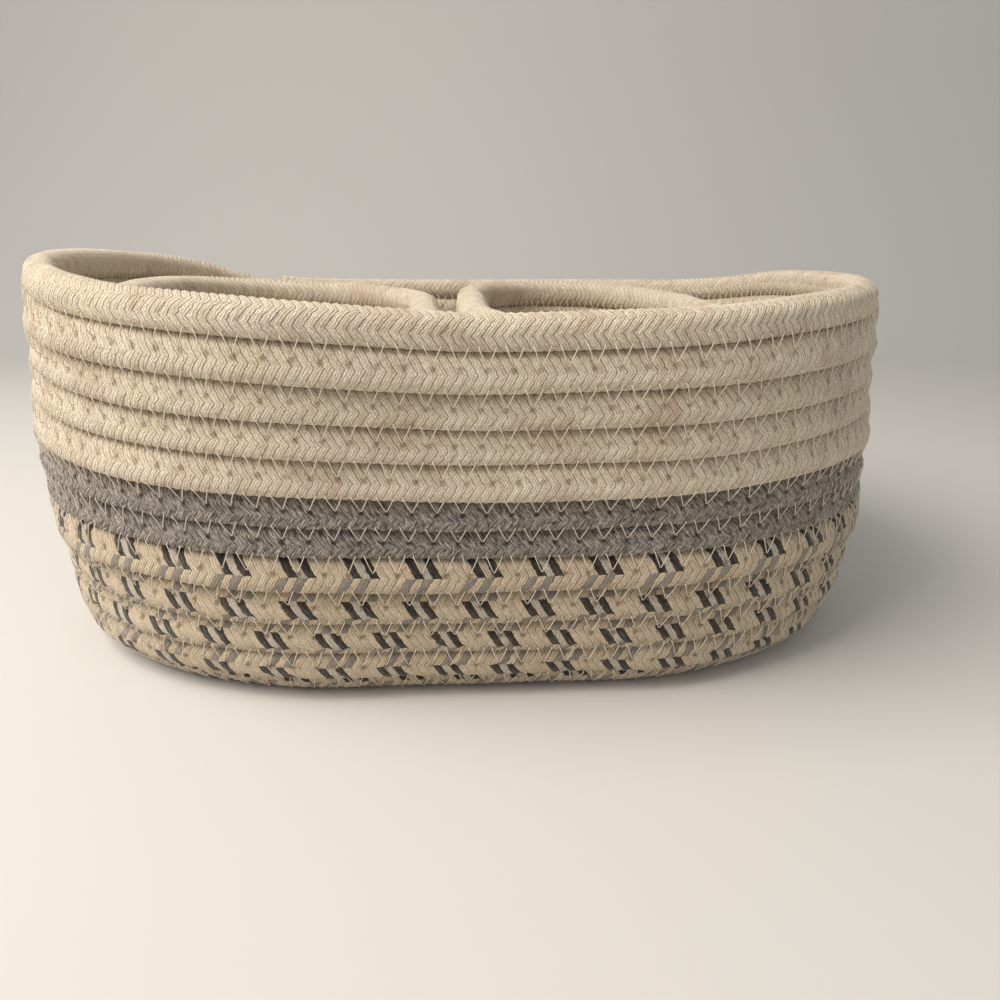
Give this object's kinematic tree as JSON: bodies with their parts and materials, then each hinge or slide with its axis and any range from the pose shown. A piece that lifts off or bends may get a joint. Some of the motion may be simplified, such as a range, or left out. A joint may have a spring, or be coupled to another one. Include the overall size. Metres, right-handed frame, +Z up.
{
  "type": "knitting basket",
  "caption": "Oval basket of coiled cotton rope, cream with grey and flecked rows, holding small cream rope baskets that lift out.",
  "frame": {"origin": "Under the middle of the large basket, on the surface that it stands on.", "axes": "+X along the length to the right, +Y to the back, +Z up."},
  "size_m": [0.3275, 0.2428, 0.1406],
  "materials": {
    "patterned_rope": "matte",
    "grey_rope": "matte",
    "cream_rope": "matte"
  },
  "bodies": {
    "large_basket": {"large_base": "patterned_rope", "large_patterned_rope": "patterned_rope", "large_grey_rope": "grey_rope", "large_cream_rope": "cream_rope"},
    "small_left_basket": {"small_left_base": "cream_rope", "small_left_rope": "cream_rope"},
    "small_right_basket": {"small_right_base": "cream_rope", "small_right_rope": "cream_rope"}
  },
  "joints": [
    {"name": "small_left_lift", "type": "slide", "parent": "large_basket", "child": "small_left_basket", "axis": [0, 0, 1], "range_m": [0, 0.16]},
    {"name": "small_right_lift", "type": "slide", "parent": "large_basket", "child": "small_right_basket", "axis": [0, 0, 1], "range_m": [0, 0.16]}
  ]
}
